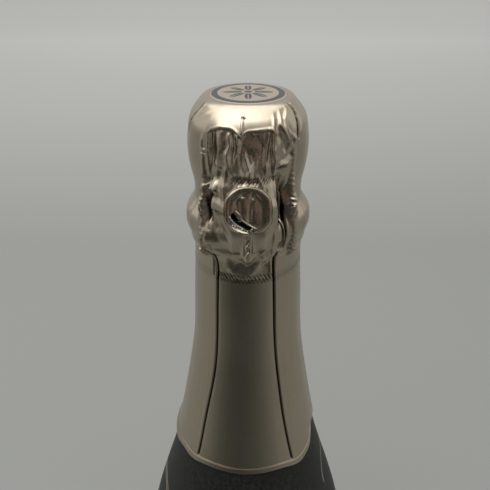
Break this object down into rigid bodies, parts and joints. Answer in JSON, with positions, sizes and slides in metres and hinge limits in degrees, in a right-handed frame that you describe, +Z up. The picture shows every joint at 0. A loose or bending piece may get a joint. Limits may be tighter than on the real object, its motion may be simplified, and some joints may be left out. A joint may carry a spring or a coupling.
{
  "type": "champagne bottle",
  "caption": "Corked sparkling-wine bottle with punted base, sloping shoulder, wire cage with fold-out pull ring, and metallic foil from the cork down the neck.",
  "frame": {"origin": "centre of the ring that the bottle stands on", "axes": "+Z up the bottle's axis, -Y towards the front, where the pull ring lies, +X to the right"},
  "size_m": [0.0884, 0.0884, 0.322],
  "materials": {
    "dark_glass": "clear dark green, polished",
    "pressed_cork": "pressed cork granules",
    "natural_cork": "natural cork disc",
    "tinplate": "gold lacquered tinplate",
    "cage_wire": "bright galvanised wire",
    "gold_foil": "satin champagne-gold foil",
    "disc_foil": "gold foil with a dark printed ornament",
    "label_paper": "dark mottled paper with gold lines"
  },
  "bodies": {
    "bottle": {"glass_bottle": "dark_glass", "foil_skirt": "gold_foil", "shoulder_label": "label_paper"},
    "cork": {"cork_body": "pressed_cork", "cork_disc_upper": "natural_cork", "cork_disc_lower": "natural_cork"},
    "cage": {"cage_cap": "tinplate", "cage_frame_wire": "cage_wire", "cage_belt_wire": "cage_wire"},
    "ring": {"cage_pull_ring": "cage_wire", "foil_ring_patch": "gold_foil"},
    "hood": {"foil_hood": "gold_foil", "foil_top_disc": "disc_foil"}
  },
  "joints": [
    {"name": "cork_pull", "type": "slide", "parent": "bottle", "child": "cork", "axis": [0, 0, 1], "range_m": [0, 0.045], "deforming": ["cage_frame_wire", "cage_belt_wire", "foil_hood"]},
    {"name": "cage_lift", "type": "slide", "parent": "cork", "child": "cage", "axis": [0, 0, 1], "range_m": [0, 0.045], "deforming": ["cage_frame_wire", "cage_belt_wire", "foil_hood"]},
    {"name": "hood_lift", "type": "slide", "parent": "cage", "child": "hood", "axis": [0, 0, 1], "range_m": [0, 0.055], "deforming": ["foil_hood"]},
    {"name": "ring_fold", "type": "hinge", "parent": "cage", "child": "ring", "pos_m": [0, -0.01843, 0.28268], "axis": [1, 0, 0], "range_deg": [0, 110]}
  ]
}
